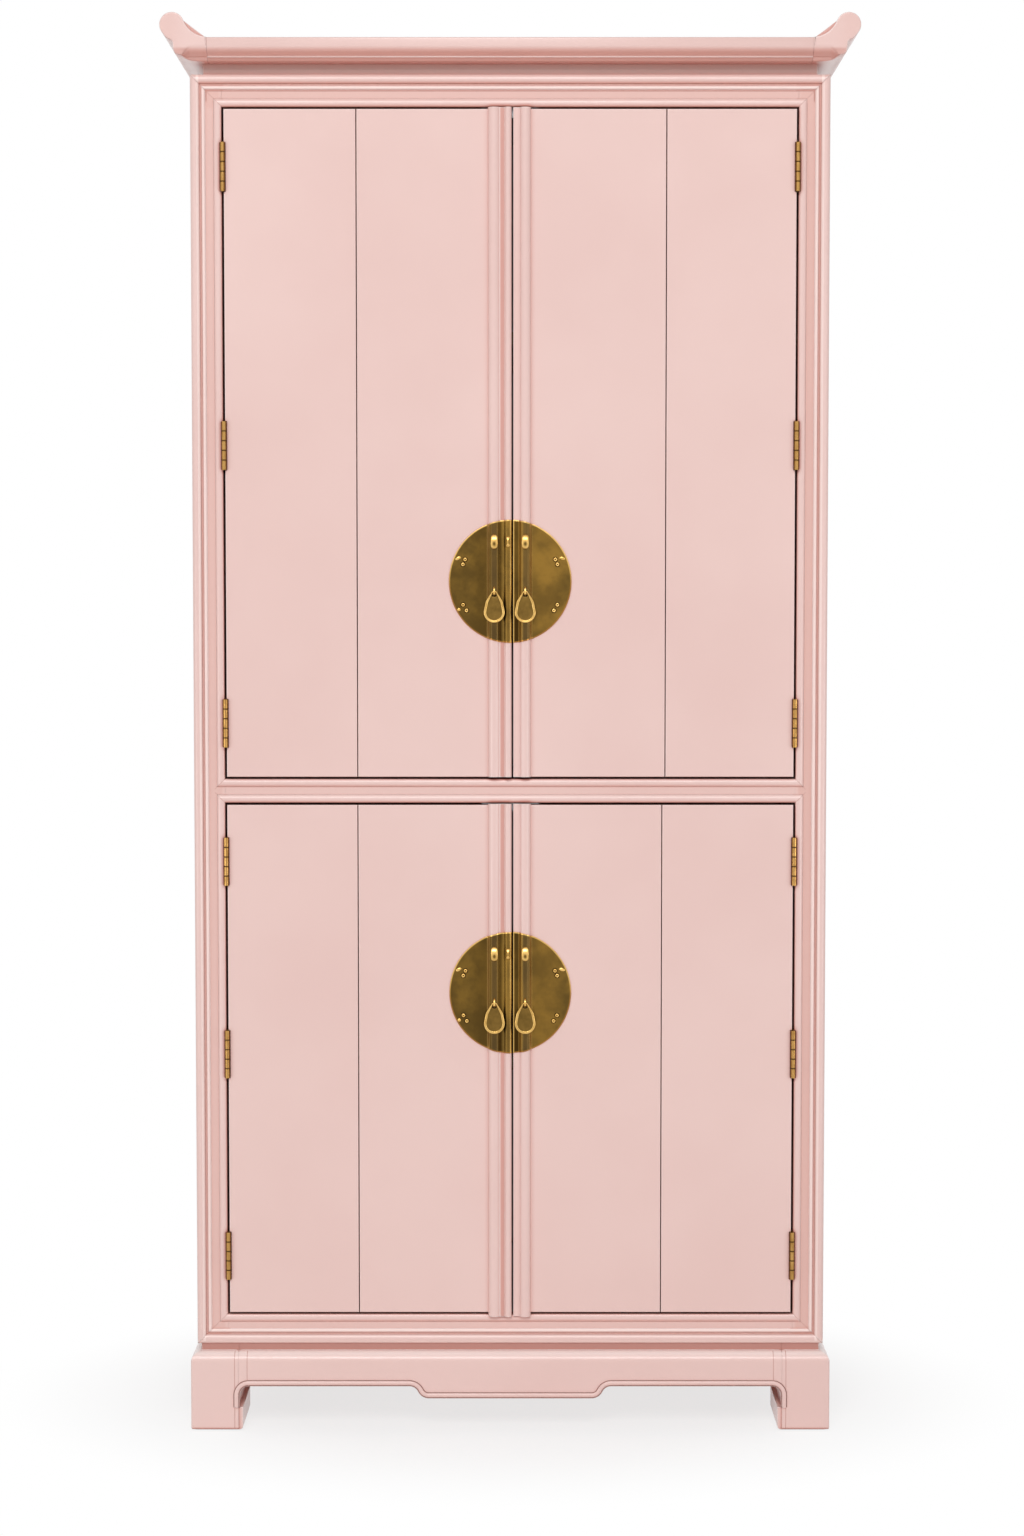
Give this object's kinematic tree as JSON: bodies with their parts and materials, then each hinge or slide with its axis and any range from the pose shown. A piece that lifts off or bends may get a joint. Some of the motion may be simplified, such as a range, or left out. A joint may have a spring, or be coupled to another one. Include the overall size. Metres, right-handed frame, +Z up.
{
  "type": "hutch",
  "caption": "Tall lacquered cupboard with folding doors above and below, upturned scroll cap, round brass lock plates with teardrop pulls and a bracket-foot base",
  "frame": {"origin": "centre of the overall footprint on the floor", "axes": "+X to the right seen from the front, +Y from the doors to the back, +Z up"},
  "size_m": [1.088, 0.6, 2.2351],
  "materials": {
    "lacquer": "pale pink satin lacquer over wood",
    "pale_wood": "clear satin",
    "aged_brass": "antique brown, cloudy, rubbed at the edges",
    "polished_brass": "antique, rubbed bright on the high parts",
    "hinge_brass": "satin brass",
    "catch_steel": "zinc plated",
    "felt": "dense felt"
  },
  "bodies": {
    "root": {"top_cap": "lacquer", "left_wing": "lacquer", "right_wing": "lacquer", "frieze_board": "lacquer", "top_board": "lacquer", "left_side": "lacquer", "right_side": "lacquer", "back_panel": "lacquer", "divider": "lacquer", "bottom_board": "lacquer", "left_stile": "lacquer", "right_stile": "lacquer", "top_rail": "lacquer", "mid_rail": "lacquer", "bottom_rail": "lacquer", "opening_beads": "lacquer", "front_feet": "lacquer", "back_feet": "lacquer", "front_apron": "lacquer", "back_apron": "lacquer", "side_aprons": "lacquer", "apron_beads": "lacquer", "corner_blocks": "pale_wood", "glides": "felt", "shelves": "pale_wood", "shelf_pins": "hinge_brass", "catches": "catch_steel", "case_hinges": "hinge_brass"},
    "upper_left_outer": {"upper_left_outer_leaf": "lacquer", "upper_left_outer_hinges": "hinge_brass"},
    "upper_left_inner": {"upper_left_inner_leaf": "lacquer", "upper_left_moulding": "lacquer", "upper_left_plate": "aged_brass", "upper_left_fittings": "polished_brass", "upper_left_inner_hinges": "hinge_brass"},
    "upper_left_pull": {"upper_left_pull": "polished_brass"},
    "upper_right_outer": {"upper_right_outer_leaf": "lacquer", "upper_right_outer_hinges": "hinge_brass"},
    "upper_right_inner": {"upper_right_inner_leaf": "lacquer", "upper_right_moulding": "lacquer", "upper_right_plate": "aged_brass", "upper_right_fittings": "polished_brass", "upper_right_inner_hinges": "hinge_brass"},
    "upper_right_pull": {"upper_right_pull": "polished_brass"},
    "lower_left_outer": {"lower_left_outer_leaf": "lacquer", "lower_left_outer_hinges": "hinge_brass"},
    "lower_left_inner": {"lower_left_inner_leaf": "lacquer", "lower_left_moulding": "lacquer", "lower_left_plate": "aged_brass", "lower_left_fittings": "polished_brass", "lower_left_inner_hinges": "hinge_brass"},
    "lower_left_pull": {"lower_left_pull": "polished_brass"},
    "lower_right_outer": {"lower_right_outer_leaf": "lacquer", "lower_right_outer_hinges": "hinge_brass"},
    "lower_right_inner": {"lower_right_inner_leaf": "lacquer", "lower_right_moulding": "lacquer", "lower_right_plate": "aged_brass", "lower_right_fittings": "polished_brass", "lower_right_inner_hinges": "hinge_brass"},
    "lower_right_pull": {"lower_right_pull": "polished_brass"}
  },
  "joints": [
    {"name": "upper_left_door_swing", "type": "hinge", "parent": "root", "child": "upper_left_outer", "pos_m": [-0.4494, -0.276, 1.5], "axis": [0, 0, -1], "range_deg": [0, 115]},
    {"name": "upper_left_fold", "type": "hinge", "parent": "upper_left_outer", "child": "upper_left_inner", "pos_m": [-0.241, -0.253, 1.5], "axis": [0, 0, 1], "range_deg": [0, 172.5]},
    {"name": "upper_left_pull_swing", "type": "hinge", "parent": "upper_left_inner", "child": "upper_left_pull", "pos_m": [-0.02515, -0.2857, 1.3387], "axis": [-1, 0, 0], "range_deg": [0, 80]},
    {"name": "upper_right_door_swing", "type": "hinge", "parent": "root", "child": "upper_right_outer", "pos_m": [0.4494, -0.276, 1.5], "axis": [0, 0, 1], "range_deg": [0, 115]},
    {"name": "upper_right_fold", "type": "hinge", "parent": "upper_right_outer", "child": "upper_right_inner", "pos_m": [0.2446, -0.253, 1.5], "axis": [0, 0, -1], "range_deg": [0, 172.5]},
    {"name": "upper_right_pull_swing", "type": "hinge", "parent": "upper_right_inner", "child": "upper_right_pull", "pos_m": [0.02365, -0.2857, 1.3387], "axis": [-1, 0, 0], "range_deg": [0, 80]},
    {"name": "lower_left_door_swing", "type": "hinge", "parent": "root", "child": "lower_left_outer", "pos_m": [-0.4494, -0.276, 1], "axis": [0, 0, -1], "range_deg": [0, 115]},
    {"name": "lower_left_fold", "type": "hinge", "parent": "lower_left_outer", "child": "lower_left_inner", "pos_m": [-0.241, -0.253, 1], "axis": [0, 0, 1], "range_deg": [0, 172.5]},
    {"name": "lower_left_pull_swing", "type": "hinge", "parent": "lower_left_inner", "child": "lower_left_pull", "pos_m": [-0.02515, -0.2857, 0.6877], "axis": [-1, 0, 0], "range_deg": [0, 80]},
    {"name": "lower_right_door_swing", "type": "hinge", "parent": "root", "child": "lower_right_outer", "pos_m": [0.4494, -0.276, 1], "axis": [0, 0, 1], "range_deg": [0, 115]},
    {"name": "lower_right_fold", "type": "hinge", "parent": "lower_right_outer", "child": "lower_right_inner", "pos_m": [0.2399, -0.253, 1], "axis": [0, 0, -1], "range_deg": [0, 172.5]},
    {"name": "lower_right_pull_swing", "type": "hinge", "parent": "lower_right_inner", "child": "lower_right_pull", "pos_m": [0.02365, -0.2857, 0.6877], "axis": [-1, 0, 0], "range_deg": [0, 80]}
  ],
  "couplings": [
    {"joint": "upper_left_fold", "follows": "upper_left_door_swing", "ratio": 1.5},
    {"joint": "upper_right_fold", "follows": "upper_right_door_swing", "ratio": 1.5},
    {"joint": "lower_left_fold", "follows": "lower_left_door_swing", "ratio": 1.5},
    {"joint": "lower_right_fold", "follows": "lower_right_door_swing", "ratio": 1.5}
  ]
}
